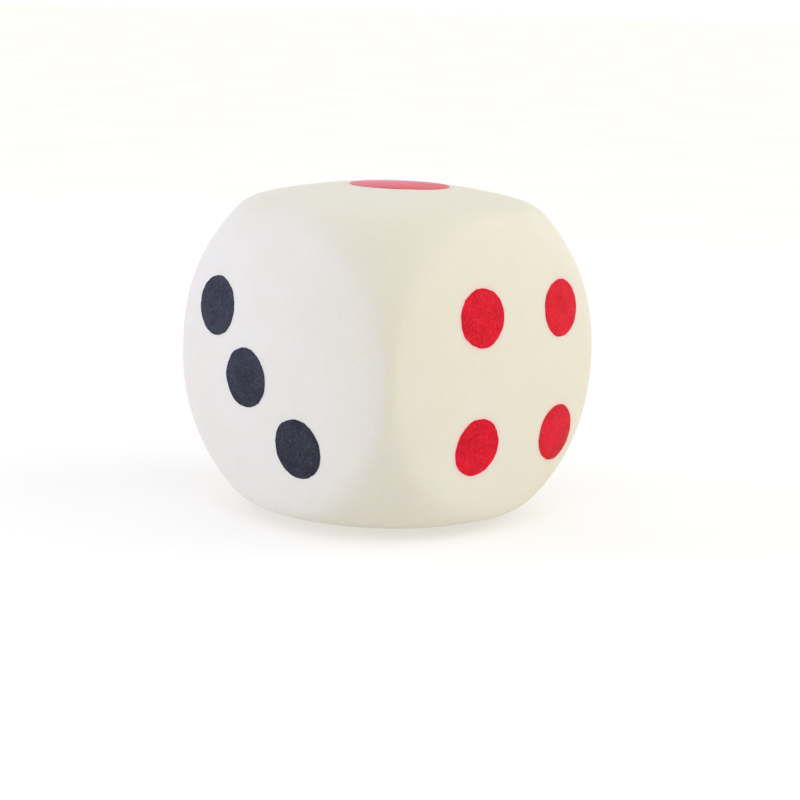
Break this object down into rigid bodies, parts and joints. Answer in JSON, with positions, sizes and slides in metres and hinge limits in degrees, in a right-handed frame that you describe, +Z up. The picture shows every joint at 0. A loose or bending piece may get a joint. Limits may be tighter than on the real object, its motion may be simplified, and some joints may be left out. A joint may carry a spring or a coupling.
{
  "type": "soft foam die",
  "caption": "Soft rounded cube die with slightly crowned faces, melted edges and round coloured spots set flush in its foam skin; it stands on a flat that its bottom crown makes under its own weight.",
  "frame": {"origin": "middle of the flat rest land under the bottom face, on the surface that the die stands on", "axes": "+Z up through the single red spot; -Y out of the face with three dark spots; +X out of the face with four red spots"},
  "size_m": [0.065, 0.065, 0.064],
  "materials": {
    "foam_skin": "matte",
    "dark_ink": "matte",
    "red_ink": "satin"
  },
  "bodies": {
    "root": {"foam_body": "foam_skin", "spot_one": "red_ink", "spot_two_1": "dark_ink", "spot_two_2": "dark_ink", "spot_three_1": "dark_ink", "spot_three_2": "dark_ink", "spot_three_3": "dark_ink", "spot_four_1": "red_ink", "spot_four_2": "red_ink", "spot_four_3": "red_ink", "spot_four_4": "red_ink", "spot_five_1": "dark_ink", "spot_five_2": "dark_ink", "spot_five_3": "dark_ink", "spot_five_4": "dark_ink", "spot_five_5": "dark_ink", "spot_six_1": "dark_ink", "spot_six_2": "dark_ink", "spot_six_3": "dark_ink", "spot_six_4": "dark_ink", "spot_six_5": "dark_ink", "spot_six_6": "dark_ink"}
  },
  "joints": []
}
